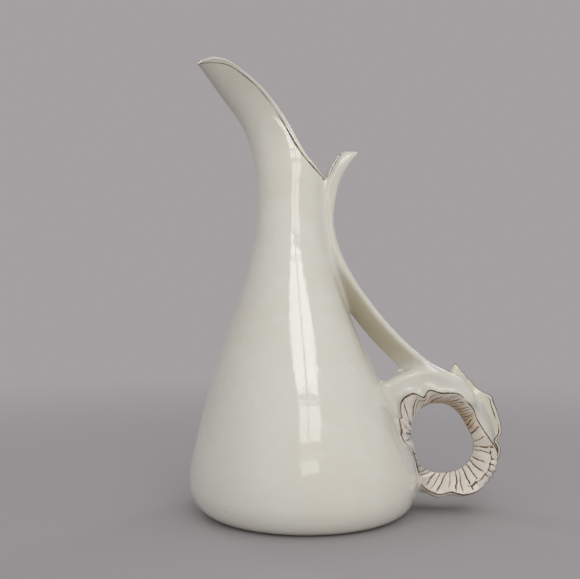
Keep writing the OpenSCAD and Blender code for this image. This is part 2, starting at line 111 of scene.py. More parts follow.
# Edges of the frills by turn, as shares: the front one's flare and stand, and the back one's radius
FRONT_PETAL = [(-180, 0.7), (-177, 0.56), (-172, 0.26), (-167, 0.16), (-161, 0.2), (-155, 0.34), (-147, 0.5),
               (-138, 0.68), (-130, 0.85), (-119, 1.06), (-108, 1.2), (-97, 1.28), (-86, 1.05), (-73, 1.4),
               (-60, 1.5), (-45, 1.6), (-24, 1.4), (-12, 1.2), (5, 0.6), (25, 0.35), (45, 0.5), (59, 0.66),
               (77, 1), (97, 1), (109, 1.35), (118, 1.1), (125, 1.7), (137, 1.85), (146, 1.5), (150.5, 1.24),
               (154, 1.34), (159, 1.14), (164, 1.02), (170, 0.97), (175, 1.0), (178, 0.84), (180, 0.7)]
FRONT_STAND = [(-180, 1.4), (-167, 0.8), (-155, 0.5), (-140, 0.9), (-100, 1.02), (-30, 1.02), (5, 0.65),
               (25, 0.45), (45, 0.55), (70, 0.95), (110, 1), (137, 1.1), (156, 1.3), (173, 1.45), (180, 1.4)]
BACK_PETAL = [(-180, 0.95), (-110, 1.02), (-89, 1.01), (-60, 1.05), (-40, 1.07), (-20, 1.07), (-13, 1.04),
              (-6, 0.955), (1, 1.03), (8, 1.04), (18, 1.03), (30, 1.045), (36, 1.07), (45, 1.005), (54, 1.0),
              (60, 1.035), (64, 1.045), (68, 1.1), (71, 1.115), (74, 1.165), (77, 1.2), (78.6, 1.19),
              (80.6, 1.06), (83, 1.0), (120, 0.97), (180, 0.95)]


def mix(a, b, t):
    """Straight blend from a to b."""
    return a + (b - a) * t


def ease(t):
    """Smooth step: 0 below 0, 1 above 1, level at both ends."""
    u = np.clip(t, 0, 1)
    return u * u * (3 - 2 * u)


def hump(x, middle, half):
    """Raised cosine: 1 at the middle, 0 at half a width away and beyond."""
    return 0.5 + 0.5 * np.cos(np.pi * np.clip((x - middle) / half, -1, 1))


def cosd(turn):
    return np.cos(np.radians(turn))


def sind(turn):
    return np.sin(np.radians(turn))


def unit(v):
    """Vectors brought to length 1."""
    return v / np.linalg.norm(v, axis=-1, keepdims=True)


def knotted(knots, x, slope):
    """Cubic pieces through (place, value) knots with the given slope at each knot."""
    k = np.asarray(knots, float)
    i = np.clip(np.searchsorted(k[:, 0], x, side="right") - 1, 0, len(k) - 2)
    h = k[i + 1, 0] - k[i, 0]
    t = np.clip((x - k[i, 0]) / h, 0, 1)
    a, b = k[i, 1], k[i + 1, 1]
    s0, s1 = slope[i] * h, slope[i + 1] * h
    return a + t * (s0 + t * (3 * (b - a) - 2 * s0 - s1 + t * (2 * (a - b) + s0 + s1)))


def curve(knots, x):
    """Knotted curve whose slope at a knot is that of the chord past it, level at both ends."""
    k = np.asarray(knots, float)
    slope = np.zeros(len(k))
    slope[1:-1] = (k[2:, 1] - k[:-2, 1]) / (k[2:, 0] - k[:-2, 0])
    return knotted(knots, np.asarray(x, float), slope)


def fair_curve(knots, x):
    """Knotted curve with level ends whose slopes make the bend run on evenly through each knot."""
    k = np.asarray(knots, float)
    h = np.diff(k[:, 0])
    rise = np.diff(k[:, 1]) / h
    n = len(k)
    rows = np.eye(n)
    goal = np.zeros(n)
    inner = np.arange(1, n - 1)
    rows[inner, inner - 1] = h[1:]
    rows[inner, inner] = 2 * (h[1:] + h[:-1])
    rows[inner, inner + 1] = h[:-1]
    goal[inner] = 3 * (h[1:] * rise[:-1] + h[:-1] * rise[1:])
    return knotted(knots, np.asarray(x, float), np.linalg.solve(rows, goal))


# Vessel: level sections, round up to the neck and oval in the spout
def round_r(z):
    """Radius of the round part: a quarter ellipse from foot to belly, then a fair curve up to the neck."""
    below = 1 - np.clip(z, 0, BELLY_Z) / BELLY_Z
    low = FOOT_R + (BELLY_R - FOOT_R) * np.sqrt(np.clip(1 - below ** 2, 0, 1))
    return np.where(z >= BELLY_Z, fair_curve(PROFILE, z), low)


def spout_share(z):
    return (z - NECK_Z) / (SPOUT_TOP_Z - NECK_Z)


def half_len(z):
    """Half the section's length along X."""
    return np.where(z <= NECK_Z, round_r(z), NECK_R * curve(SPOUT_LENGTH, spout_share(z)))


def half_w(z):
    """Half the section's width along Y: the neck is drawn in a little as it rises into the spout."""
    drawn = 1 - DRAWN_IN * ease((z - DRAWN_Z) / DRAWN_H)
    return drawn * np.where(z <= NECK_Z, round_r(z), NECK_R * curve(SPOUT_WIDTH, spout_share(z)))


def mid_x(z):
    """Section's middle: leans towards the spout up to the neck, then follows the spout's swept front."""
    lean = -LEAN * ease((z - BASE_H) / (LEAN_Z - BASE_H))
    return np.where(z <= NECK_Z, lean,
                    half_len(z) - LEAN - NECK_R - SPOUT_REACH * curve(SPOUT_SWEEP, spout_share(z)))


def back_x(z):
    """X of the vessel's back at a height."""
    return float(mid_x(z) + half_len(z))


def wall_t(z):
    """Wall thickness, thinning from the body to the neck and to the spout's tip."""
    neck = mix(BODY_WALL, NECK_WALL, np.clip((z - SEAM_Z) / (NECK_Z - SEAM_Z), 0, 1))
    return np.where(z <= NECK_Z, neck, mix(NECK_WALL, TIP_WALL, np.clip(spout_share(z), 0, 1)))


def throwing(z, turn):
    """Unevenness left by the hands: shallow spiral ridges and a slow wander of the wall."""
    a = np.radians(turn)
    ridge = RIDGE_H * (np.sin(0.62 * z + a) + 0.5 * np.sin(0.97 * z - 2 * a + 1))
    wander = WANDER_H * (np.sin(0.071 * z + 2 * a + 0.6) + 0.75 * np.sin(0.043 * z - 3 * a))
    return (ridge + wander) * ease(z / 30) * ease((SPOUT_TOP_Z - z) / 20)


def vessel_point(z, turn, out):
    """Point on the section at height z and turn about its middle, moved out by a distance."""
    z, turn, out = np.broadcast_arrays(np.asarray(z, float), turn, out)
    return np.stack([mid_x(z) + (half_len(z) + out) * cosd(turn), (half_w(z) + out) * sind(turn), z], -1)


def wall_point(z, turn, out=0.0):
    """Point on the vessel's uneven outer face."""
    return vessel_point(z, turn, out + throwing(z, turn))


# Mouth: the turn at which each height is cut, and the spout's top from one side (1) to the other (-1)
def cut_turn(z):
    """Turn at which the wall stops on the cut rim, 0 below the notch."""
    share = curve(MOUTH, (z - NOTCH_Z) / (SPOUT_TOP_Z - NOTCH_Z))
    x = mix(-LEAN - NECK_R - SPOUT_REACH, NECK_R - LEAN, share)
    return np.where(z <= NOTCH_Z, 0, np.degrees(np.arccos(np.clip((x - mid_x(z)) / half_len(z), -1, 1))))


def mouth_turn(z, across):
    """Turn of a column: even at the notch, and above it pushed back from the cut."""
    cut = cut_turn(z)
    crowd = mix(4, 1, ease(cut / 90))
    return 180 - 180 * across + cut * np.sign(across) * np.abs(across) ** crowd


def mouth_top(across):
    """Height of the spout's top edge: it droops at the tip and slopes off at both ends to meet the cut
    rim."""
    ends = np.clip(np.abs(across) - 0.5, 0, 1) / 0.5
    return SPOUT_TOP_Z - TIP_DROOP * (1 - across * across) ** 2 - TIP_END_DROP * ends ** 2


# Ring: polar places about the finger hole, which runs along Y
FLARE_TURN = math.degrees(math.atan2(FRONT_FLARE, FRONT_DEPTH))
RING_X = back_x(RING_Z) + HOLE_R + RING_STANDOFF * math.cos(math.radians(FLARE_TURN)) + JOIN_GAP


def ring_point(r, y, turn):
    r, y, turn = np.broadcast_arrays(r, y, turn)
    return np.stack([RING_X + r * cosd(turn), y, RING_Z + r * sind(turn)], -1)


def ring_polar(x, z):
    """Distance and turn about the finger hole."""
    dx, dz = x - RING_X, z - RING_Z
    return np.hypot(dx, dz), np.degrees(np.arctan2(dz, dx))


def outside_vessel(p, gap):
    """Points that lie in the vessel or closer than the gap, moved level to stand that gap off its face."""
    z = p[..., 2]
    a, b = half_len(z) + gap, half_w(z) + gap
    d = np.stack([(p[..., 0] - mid_x(z)) / a, p[..., 1] / b], -1)
    q = np.linalg.norm(d, axis=-1)
    push = np.maximum(1 / np.maximum(q, 1e-6), 1)
    return np.stack([mid_x(z) + d[..., 0] * push * a, d[..., 1] * push * b, z], -1)


# Meshes
def quads_of(index):
    """Quads between neighbouring rows and columns of a grid of point numbers, or of several."""
    return np.stack([index[..., :-1, :-1], index[..., :-1, 1:], index[..., 1:, 1:], index[..., 1:, :-1]],
                    -1).reshape(-1, 4)


def wrapped(index):
    """Grid of point numbers with its first column repeated at the end."""
    return np.concatenate([index, index[:, :1]], 1)


def numbers(grid, start=0):
    """Point numbers of a grid of points."""
    return start + np.arange(grid.shape[0] * grid.shape[1]).reshape(grid.shape[:2])


def closed_band(grid):
    """Mesh of a grid of points that closes on itself both ways."""
    index = numbers(grid)
    return grid.reshape(-1, 3), [quads_of(wrapped(np.concatenate([index, index[:1]])))]


def make_piece(name, mesh_parts, slot, nodes, **marks):
    """Mesh object in metres from points in millimetres, smooth, facing out, riding on the part in place of
    CAD nodes. Marks are values on the points, such as gloss or painted shade, that the finish reads."""
    points, faces = mesh_parts
    mesh = bpy.data.meshes.new(name)
    corners = [face for part in faces for face in part.tolist()]
    mesh.from_pydata((np.asarray(points, float) * 0.001).tolist(), [], corners)
    work = bmesh.new()
    work.from_mesh(mesh)
    bmesh.ops.recalc_face_normals(work, faces=work.faces)
    work.to_mesh(mesh)
    work.free()
    for mark, value in {**PLAIN[slot], **marks}.items():
        layer = mesh.attributes.new(mark, "FLOAT", "POINT")
        layer.data.foreach_set("value", np.broadcast_to(value, len(points)).astype(np.float32))
    mesh.shade_smooth()
    mesh.materials.append(FINISHES[slot])
    piece = bpy.data.objects.new(name, mesh)
    bpy.context.scene.collection.objects.link(piece)
    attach(piece, "root")
    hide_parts(*nodes)
    return piece


def rim_roll(outer, inner):
    """Rolled rim: a half circle carried along the rim from the outer wall's edge to the inner wall's,
    standing straighter and higher at the tip."""
    middle, half = (outer + inner) / 2, (outer - inner) / 2
    ahead = unit(np.roll(middle, -1, 0) - middle)
    weights = (1, 2, 3, 4, 4, 3, 2, 1)
    along = sum(weight * np.roll(ahead, k, 0) for k, weight in zip(range(-3, 5), weights))
    up = unit(np.cross(along, half))
    up *= np.sign(up[:, 2:] + up[:, :1] * 0.5 + 1e-9)
    nose = (hump(middle[:, 0], middle[:, 0].min(), NOSE_L) * (middle[:, 2] > SEAM_Z))[:, None]
    up = unit(mix(up, np.array(NOSE_WAY), NOSE_TURN * nose))
    size = np.linalg.norm(half, axis=1, keepdims=True) * (1 + NOSE_LIFT * nose)
    bend = np.linspace(0, np.pi, 10)[1:-1, None, None]
    return middle + half * np.cos(bend) + up * size * np.sin(bend)


def vessel_mesh():
    """Closed shell of the vessel: round rows from the middle of the underside up to the notch, arcs above it
    that stop on the cut rim, the same inside down to the floor, and the rolled rim between. Gives the number
    of points on the roll too, which come last."""
    columns = 180
    foot_rows, body_rows, spout_rows, inner_rows, bend_rows = 22, 132, 91, 90, 8
    turn = 360 * np.arange(columns) / columns
    across = 1 - 2 * np.arange(columns + 1) / columns
    circles = lambda r, z: np.stack([r * cosd(turn), r * sind(turn), z + 0 * r * turn], -1)

    foot_z = BELLY_Z * (1 - np.cos(np.linspace(0, np.pi / 2, foot_rows)))
    low_z = np.concatenate([foot_z, np.linspace(BELLY_Z, NOTCH_Z, body_rows)[1:]])[:, None]
    outer_low = np.concatenate([circles(*np.array(UNDERSIDE).T[:, :, None]), wall_point(low_z, turn)])

    rise = np.linspace(0, 1, spout_rows)[1:, None]
    rise = mix(rise ** 1.35, 1 - (1 - rise) ** 2, rise)
    high_z = mix(NOTCH_Z, mouth_top(across), rise)
    high_turn = mouth_turn(high_z, across)
    outer_high = wall_point(high_z, high_turn)
    inner_high = vessel_point(high_z, high_turn, -wall_t(high_z))

    in_z = np.linspace(NOTCH_Z, BASE_H + FLOOR_FILLET, inner_rows)[:, None]
    bend = np.linspace(0, np.pi / 2, bend_rows)[1:, None]
    bend_r = round_r(in_z[-1]) - BODY_WALL - FLOOR_FILLET * (1 - np.cos(bend))
    bend_z = BASE_H + FLOOR_FILLET * (1 - np.sin(bend))
    floor_r = np.array([45.0, 25, 0.5])[:, None]
    inner_low = np.concatenate([vessel_point(in_z, turn, -wall_t(in_z)), circles(bend_r, bend_z),
                                circles(floor_r, BASE_H)])

    grids = [outer_low, outer_high, inner_high, inner_low]
    starts = np.cumsum([0] + [grid.shape[0] * grid.shape[1] for grid in grids])
    low_out, high_out, high_in, low_in = (numbers(grid, start) for grid, start in zip(grids, starts))
    points = np.concatenate([grid.reshape(-1, 3) for grid in grids])

    def rim_way(low_row, high):
        """Point numbers along the rim: the notch, up one side, round the tip and down the other."""
        return np.concatenate([low_row[:1], high[:, -1], high[-1, -2:0:-1], high[::-1, 0]])

    outer_rim, inner_rim = rim_way(low_out[-1], high_out), rim_way(low_in[0], high_in)
    rolled = rim_roll(points[outer_rim], points[inner_rim])
    roll_rows = numbers(rolled, starts[-1])
    points = np.concatenate([points, rolled.reshape(-1, 3)])

    outer = np.concatenate([wrapped(low_out), high_out])
    inner = np.concatenate([high_in[::-1], wrapped(low_in)])
    rim = wrapped(np.concatenate([outer_rim[None], roll_rows, inner_rim[None]]))
    faces = [quads_of(outer), quads_of(inner), quads_of(rim), low_out[:1, ::-1], low_in[-1:]]
    return (points, faces), roll_rows.size


# Handle: a bar down the back of the neck and out to the ring, the ring, and the web between, as one soft mass
def bezier(b, t):
    """Cubic curve from b[0] to b[3], drawn towards b[1] and b[2]."""
    s = 1 - t
    return s ** 3 * b[0] + 3 * s ** 2 * t * b[1] + 3 * s * t * t * b[2] + t ** 3 * b[3]


def bar_way():
    """Rows at rising heights: height and X of the bar's middle, half thickness, half width, side shift, fall
    (how steeply it runs down) and tilt."""
    top, top_way = np.array([back_x(BAR_TOP_Z) + BAR_TOP_OUT, BAR_TOP_Z]), unit(np.array(BAR_TOP_WAY))
    lip_tip, lip_way = np.array([back_x(NOTCH_Z) + LIP_REACH, LIP_TIP_Z]), unit(np.array(LIP_WAY))
    landing = np.array([RING_X, RING_Z]) + LANDING_R * np.array([cosd(LANDING_TURN), sind(LANDING_TURN)])
    t = np.linspace(0, 1, 61)[:, None]
    lip = bezier([top, top - LIP_PULL * top_way, lip_tip - LIP_PULL * lip_way, lip_tip], t)
    bend = landing - STRAP_PULL * np.array(LANDING_WAY)
    strap = bezier([top, top + STRAP_PULL * top_way, bend, landing], t)
    face = np.concatenate([lip[::-1], strap[1:]])
    place = np.concatenate([-t[::-1, 0], t[1:, 0]])
    way = unit(np.gradient(face, axis=0))
    out = np.stack([-way[:, 1], way[:, 0]], 1)
    at_lip, strap_in = place < 0, ease(2.5 * place)
    deep = np.where(at_lip, mix(BAR_T, LIP_T, ease(-2 * place)), mix(BAR_T, STRAP_DEEP, strap_in)) / 2
    half_t = mix(deep, STRAP_HALF_T, ease(place / 0.4))
    half_wide = np.where(at_lip, mix(BAR_HALF_W, LIP_HALF_W, -place), mix(BAR_HALF_W, STRAP_HALF_W, strap_in))
    side = -STRAP_SIDE * ease(2.5 * place - 1.5)
    tilt = LIP_TILT * ease(-3 * place) + STRAP_TILT * ease((place - 0.08) / 0.34)
    middle = face - out * deep[:, None]
    return np.stack([middle[:, 1], middle[:, 0], half_t, half_wide, side, np.abs(way[:, 1]), tilt], 1)[::-1]


BAR = bar_way()
# Radius of the web's outer edge by turn
RING_OUT = [(-180, 34.5), (-20, 34.5), (40, 34.8), (56, 36), (75, 40), (92, 44), (108, 49), (118, 51),
            (126, 52.3), (136, 54.5), (150, 59), (180, 62)]


def soft_least(a, b, reach):
    """The lesser of two fields, rounded over where they are within reach of each other."""
    return np.minimum(a, b) - np.maximum(reach - np.abs(a - b), 0) ** 2 / (4 * reach)


def rounded_field(across, half_across, y, half_y, corner):
    """Distance to an oblong section with rounded corners, negative inside."""
    q1 = np.abs(across) - half_across + corner
    q2 = np.abs(y) - half_y + corner
    return np.minimum(np.maximum(q1, q2), 0) + np.hypot(np.maximum(q1, 0), np.maximum(q2, 0)) - corner


def bar_place(x, y, z):
    """Place in the bar's section, square to the bar and tilted about it: across its thickness and its width,
    each 1 at the face, with the half sizes."""
    xc, half_t, half_wide, side, fall, tilt = (np.interp(z, BAR[:, 0], BAR[:, k]) for k in range(1, 7))
    rounding = np.clip((z - LIP_ROUND_Z) / LIP_ROUND_H, 0, 1)
    half_wide = half_wide * np.sqrt(np.clip(1 - 0.6 * rounding ** 2, 0.05, 1))
    out, along = (x - xc) * fall, y - side
    u = out * cosd(tilt) + along * sind(tilt)
    v = along * cosd(tilt) - out * sind(tilt)
    return u / half_t, v / half_wide, half_t, half_wide


def bar_field(x, y, z):
    """Field of the bar: an oval section at each height."""
    a, b, half_t, half_wide = bar_place(x, y, z)
    a, b = np.abs(a), np.abs(b)
    power = mix(2.6, 3.6, ease((z - 190) / 25))
    near = np.maximum((a ** power + b ** power) ** (1 / power), 1e-3)
    slope = np.hypot((a / near) ** (power - 1) / half_t, (b / near) ** (power - 1) / half_wide)
    bar = (near - 1) / slope
    end = np.maximum(z - LIP_END_Z, BAR[0, 0] - z)
    return -soft_least(-bar, -end, 3)


TURNS = np.linspace(-180, 180, 1441)


def by_turn(knots):
    """Knotted curve of the turn, looked up from a fine list."""
    values = curve(knots, TURNS)
    return lambda turn: np.interp(turn, TURNS, values)


hole_at, petal_at, stand_at = by_turn(HOLE), by_turn(FRONT_PETAL), by_turn(FRONT_STAND)
back_at, web_at = by_turn(BACK_PETAL), by_turn(RING_OUT)


def edge_at(turn):
    """Radius of the front frill's edge."""
    return HOLE_R + FRONT_FLARE * petal_at(turn)


def roll_at(turn):
    """Share of the outward roll in the front frill, at its flap."""
    return hump(turn, FLAP_TURN, FLAP_HALF)


def ring_fields(x, y, z):
    """Fields of the ring: its clay, a trumpet from the front frill's edge to the back frill's, with a bulge
    below and a groove before the back frill, that runs up into the web; and the lining that keeps the hole
    clear."""
    r, turn = ring_polar(x, z)
    hole, edge = hole_at(turn), edge_at(turn)
    lip = WAIST_Y - FRONT_DEPTH * stand_at(turn)
    front = lip + FRILL_BED + 6 * roll_at(turn)
    back = BACK_R * np.minimum(back_at(turn), 1.04)
    lining = hole + (edge - hole) * np.clip((WAIST_Y - y) / (WAIST_Y - lip), 0, 1) ** 1.5 + FRILL_BED
    s = np.clip((y - front) / (WAIST_Y + BACK_DEPTH - front), 0, 1)
    bulge = BULGE_H * hump(turn, -92, 52) * np.sin(np.pi * np.sqrt(s))
    groove = GROOVE_H * hump(s, 0.83, 0.22) * ease((turn + 30) / 25) * ease((112 - turn) / 45)
    outer = mix(edge + 0.5, back - 1.5, s ** 0.8) + bulge - groove
    behind = WAIST_Y + BACK_DEPTH * np.clip((r - hole) / (back - hole), 0, 1) ** 0.45 - 0.6
    flank = -soft_least(0.9 * (outer - r), 0.8 * (behind - y), 2)
    trumpet = np.maximum(flank, front - y)
    half = (web_at(turn) - lining) / 2
    web = rounded_field(r - lining - half, np.maximum(half, 1), y - WEB_Y, WEB_HALF_W, np.clip(half, 1, 4.5))
    web = web + 14 * ease((62 - turn) / 40)
    return soft_least(trumpet, web, 6), 0.9 * (lining - r)


def vessel_field(x, y, z):
    """Field of the vessel's uneven outer wall, stopping at the notch."""
    a, b, xc = half_len(z), half_w(z), mid_x(z)
    uneven = throwing(z, np.degrees(np.arctan2(y / b, (x - xc) / a)))
    wall = (np.hypot((x - xc) / (a + uneven), y / (b + uneven)) - 1) * np.minimum(a, b) * 0.95
    return np.maximum(wall, (z - NOTCH_Z) * 0.8)


def clay_field(x, y, z):
    """Bar, ring and web, softly joined, and open at the hole."""
    ring, lining = ring_fields(x, y, z)
    return -soft_least(-soft_least(bar_field(x, y, z), ring, 7), -lining, 0.8)


def join_reach(z):
    """Reach of the soft join: wide at the ring and the neck, tight where the bar leaves the wall."""
    return mix(JOIN_REACH, TIGHT_REACH, hump(z, TIGHT_Z, TIGHT_HALF))


def joined_field(x, y, z):
    """The handle's clay, softly joined to the vessel's wall."""
    return soft_least(clay_field(x, y, z), vessel_field(x, y, z), join_reach(z))


def handle_field(x, y, z):
    """The joined clay without the vessel: it stops inside the wall and a little way past the join."""
    clay, wall, reach = clay_field(x, y, z), vessel_field(x, y, z), join_reach(z)
    return np.maximum(np.maximum(soft_least(clay, wall, reach), -wall - SUNK), clay - reach + 0.35)


def gradient_of(field, p, step=0.05):
    """Gradient of a field at points, by central differences."""
    shifts = step * np.eye(3)
    return np.stack([field(*(p + s).T) - field(*(p - s).T) for s in shifts], -1) / (2 * step)


def onto_skin(field, p, limit):
    """Points moved along the gradient until the field is zero there."""
    for _ in range(4):
        g = gradient_of(field, p)
        step = (field(*p.T) / np.maximum((g * g).sum(1), 1e-6))[:, None] * g
        size = np.linalg.norm(step, axis=1, keepdims=True)
        p = p - step * np.minimum(1, limit / np.maximum(size, 1e-9))
    return p


def settle(value):
    """Takes the saddles out of a grid of field values, so that only two faces meet on an edge of the skin:
    where a square's corners lie in and out by turns, the outer corner nearest the skin goes in."""
    found = True
    while found:
        found = False
        for axis in range(3):
            sheet = np.moveaxis(value, axis, 2)
            inside = sheet < 0
            a, b, c, d = inside[:-1, :-1], inside[1:, :-1], inside[1:, 1:], inside[:-1, 1:]
            i, j, k = np.nonzero((a == c) & (b == d) & (a != b))
            rows, columns = np.stack([i, i + 1, i + 1, i]), np.stack([j, j, j + 1, j + 1])
            corner = sheet[rows, columns, k]
            nearest = np.where(corner < 0, np.inf, corner).argmin(0), np.arange(len(i))
            sheet[rows[nearest], columns[nearest], k] = -0.01
            found = found or len(i) > 0


def skin_of(field, low, high, cell):
    """Closed skin where a field is zero: one point in each grid cell that it crosses, at the mean of the
    crossings on the cell's edges, and a quad round each crossed edge."""
    axes = [np.arange(a, b + cell, cell) for a, b in zip(low, high)]
    value = field(*np.meshgrid(*axes, indexing="ij"))
    settle(value)
    shape = value.shape
    total, count = np.zeros((value.size, 3)), np.zeros(value.size)
    quads = []
    for axis in range(3):
        ahead = np.moveaxis(value, axis, 0)
        crossed = np.moveaxis((ahead[:-1] < 0) != (ahead[1:] < 0), 0, axis)
        node = np.argwhere(crossed)
        a = value[tuple(node.T)]
        b = value[tuple((node + np.eye(3, dtype=int)[axis]).T)]
        place = node.astype(float)
        place[:, axis] += a / (a - b)
        u, v = np.eye(3, dtype=int)[(axis + 1) % 3], np.eye(3, dtype=int)[(axis + 2) % 3]
        cells = np.stack([np.ravel_multi_index((node - s).T, shape) for s in (0 * u, u, u + v, v)], 1)
        for corner in range(4):
            np.add.at(total, cells[:, corner], place)
            np.add.at(count, cells[:, corner], 1)
        quads.append(np.where((a < 0)[:, None], cells, cells[:, ::-1]))
    used = np.flatnonzero(count)
    number = np.full(value.size, -1)
    number[used] = np.arange(len(used))
    points = np.asarray(low) + cell * total[used] / count[used, None]
    return points, number[np.concatenate(quads)]


def handle_mesh():
    """Skin of the handle, drawn onto the joined field wherever it shows."""
    points, quads = skin_of(handle_field, HANDLE_LOW, HANDLE_HIGH, CELL)
    clay, wall = clay_field(*points.T), vessel_field(*points.T)
    shows = (wall > -1.2) & (clay < join_reach(points[:, 2]) - 0.7)
    points[shows] = onto_skin(joined_field, points[shows], CELL / 2)
    return points, [quads]


# Frills: strips [radius, y] from the waist (0) to the edge (1)
def frill_t(t):
    return mix(FRILL_ROOT_T, FRILL_EDGE_T, np.clip(t, 0, 1))


def ripple(turn):
    """Uneven ruffles round the frill."""
    return (sind(9 * turn + 25) + 0.7 * sind(13 * turn + 140)) / 1.4


def half_turn(turn):
    """Turn brought between -180 and 180."""
    return (turn + 180) % 360 - 180


GILL = np.array(GILLS, float)
GILL_ROUND = np.concatenate([GILL[-1:] - 360, GILL, GILL[:1] + 360])


def gill_phase(turn, t):
    """Whole at each gill line, running between them: the turn is followed back along the lines to the
    hole."""
    lag = GILL_ROUND[:, 1] - GILL_ROUND[:, 0]
    root = turn
    for _ in range(4):
        root = turn - np.interp(root, GILL_ROUND[:, 0], lag) * np.clip(t, 0, 1)
    return np.interp(half_turn(root), GILL_ROUND[:, 0], np.arange(len(GILL_ROUND)))


def front_strip(turn, t):
    """Gilled funnel: flares from the hole and stands forward by its petal shapes, swells between the gill
    lines, ruffles near the edge, and at the lower right folds back outwards in a scalloped flap."""
    hole, edge = hole_at(turn), edge_at(turn)
    up = np.maximum(t, 0)
    roll = roll_at(turn) * np.clip((t - FLAP_FROM) / (1 - FLAP_FROM), 0, 1.1)
    crests = np.abs(np.sin(np.pi * gill_phase(turn, t))) ** 0.8
    depth = 0.45 + 0.75 * hump(turn, 148, 40) + 0.5 * hump(turn, 166, 14)
    swell = depth * crests * np.clip(t / 0.15, 0, 1) * np.clip((1.03 - t) / 0.2, 0.25, 1)
    scallop = SCALLOP_H * (np.abs(sind(180 * (turn - FLAP_FIRST) / FLAP_STEP)) - 0.6)
    r = hole + (edge - hole) * up ** 1.5 + (FLAP_OUT + scallop) * roll - swell
    fold = (FLAP_BACK - scallop) * roll ** 1.3
    y = WAIST_Y - stand_at(turn) * FRONT_DEPTH * t + fold - FRONT_RUFFLE * up ** 3 * ripple(turn)
    return r, y


def back_strip(turn, t):
    """Back frill: bends out from the waist to a ruffled edge."""
    s, up = 1 - t, np.clip(t, 0, 1.2)
    hole = hole_at(turn)
    r = s * s * hole + 2 * s * up * (hole + 1) + up * up * back_at(turn) * BACK_R
    root, edge = WAIST_Y + JOIN_GAP, WAIST_Y + BACK_DEPTH
    y = s * s * root + 2 * s * up * (WAIST_Y + 0.6 * BACK_DEPTH) + up * up * edge
    return r, y + BACK_RUFFLE * up ** 3 * ripple(turn + 75)


def frill_point(strip, turn, t, out):
    """Point of a frill, moved out square to its strip and clear of the vessel."""
    turn = half_turn(turn)
    r, y = strip(turn, t)
    r2, y2 = strip(turn, t + 0.01)
    dr, dy = r2 - r, y2 - y
    size = np.hypot(dr, dy)
    flip = 1 if strip is front_strip else -1
    p = ring_point(r - flip * out * dy / size, y + flip * out * dr / size, turn)
    return outside_vessel(p, JOIN_GAP + frill_t(t) - out)


front_frill = functools.partial(frill_point, front_strip)
back_frill = functools.partial(frill_point, back_strip)


def frill_mesh(face, length, columns, rows):
    """Closed band: up the inner face, round the edge in a half circle, and back down the outer face."""
    turn = (-180 + 360 * np.arange(columns) / columns)[:, None]
    t = np.linspace(0, 1, rows)
    bend = np.linspace(0, np.pi, 7)[1:-1]
    edge = FRILL_EDGE_T / 2
    places = np.concatenate([t, 1 + edge / length * np.sin(bend), t[::-1]])
    outs = np.concatenate([0 * t, edge * (1 - np.cos(bend)), frill_t(t[::-1])])
    return closed_band(face(turn, places, outs))


# Marks on the points: gloss; a yellow tint, partly pooled glaze and partly painted shade; a brown wash,
# partly painted shade; grey painted shade; and a paler colour, which is painted light
def vessel_dim(p, rolled):
    """Painted shade that greys the glaze towards the spout's tip, kept almost off the rolled rim, which stays
    lighter as a painted highlight.
    """
    on_wall = np.arange(len(p)) < len(p) - rolled
    # painted shade towards the tip; the rolled rim keeps little of it and reads lighter, a painted highlight
    return 0.74 * ease((p[:, 2] - 225) / 62) * np.where(on_wall, 1, 0.15)


def handle_marks(x, y, z):
    """Away from the vessel's wall the handle is a little less glossy and darker with painted shade. The bar's
    under face, all but its outer edge, has a yellow tint that is partly pooled glaze and partly painted
    shade, and the ring's outer flank is greyed with painted shade."""
    wall = vessel_field(x, y, z)
    across, along, _, _ = bar_place(x, y, z)
    r, turn = ring_polar(x, z)
    face = ease((along + 0.98) / 0.3) * (1 - 0.7 * ease(across * 2))
    # yellow tint on the bar's under face: partly pooled glaze, partly painted shade
    stain = 0.85 * ease((z - 92) / 16) * ease((172 - z) / 36) * face * ease(wall / 4)
    # grey painted shade on the ring's outer flank
    flank = 0.3 * hump(turn, 12, 50) * ease((r - 27) / 6) * ease((y + 14) / 14)
    # painted shade: darker away from the wall and over the under face's tint
    return {"gloss": mix(1.0, 0.85, ease(wall / 3)), "stain": stain,
            "dim": 0.13 * ease(wall / 5) + 0.2 * stain + flank}


def funnel_marks(x, y, z):
    """A brown wash inside the funnel's top and upper right, partly a real wash and partly painted shade in
    the hollow, and grey painted shade low down by the wall and past the flap's crest."""
    r, turn = ring_polar(x, z)
    t = np.clip((WAIST_Y - y) / (FRONT_DEPTH * stand_at(turn)), 0, 1)
    past_crest = roll_at(turn) * ease((r - edge_at(turn) + 2) / 3)
    # brown wash: partly a wash, partly painted shade in the funnel's hollow; grey: painted shade past the
    # crest and low by the wall
    return {"brown_wash_and_shade": 0.9 * ease((turn - 4) / 20) * ease((140 - turn) / 45) * hump(t, 0.3, 0.85),
            "dim": 0.22 * past_crest + 0.7 * hump(turn, -132, 36)}


# Gold lines: low domed bands laid along a face, or over a frill's edge
RIM_GOLD_H, GOLD_H = 0.08, 0.1
GOLD_OVER, GOLD_UNDER = 0.13, 0.2
# The mouth's line: its start, its widths, and its drop below the rim by height and across the tip
RIM_START, RIM_LINE_W, RIM_LINE_TOP_W = 0.6, 1.25, 0.65
RIM_DROP = [(NOTCH_Z, 1.0), (235, 1.4), (250, 1.9), (270, 1.7), (283, 2.0), (291, 3.2), (297, 4.3)]
TIP_DROP = [(0, 0.3), (0.35, 0.9), (0.7, 2.8), (1, 4.3)]
# Lines along the frills' edges: turns, and the share that wear has kept
EDGE_TURNS = np.linspace(-180, 180, 721)[:-1, None]
FRONT_KEPT = 1 - 0.9 * np.clip(1.6 * hump(EDGE_TURNS, -36, 36), 0, 1)
BACK_KEPT = np.clip(0.3 + 1.3 * hump(EDGE_TURNS, -7, 18) + 1.3 * hump(EDGE_TURNS, 26, 15)
                    + 0.5 * hump(EDGE_TURNS, -60, 40), 0, 1)


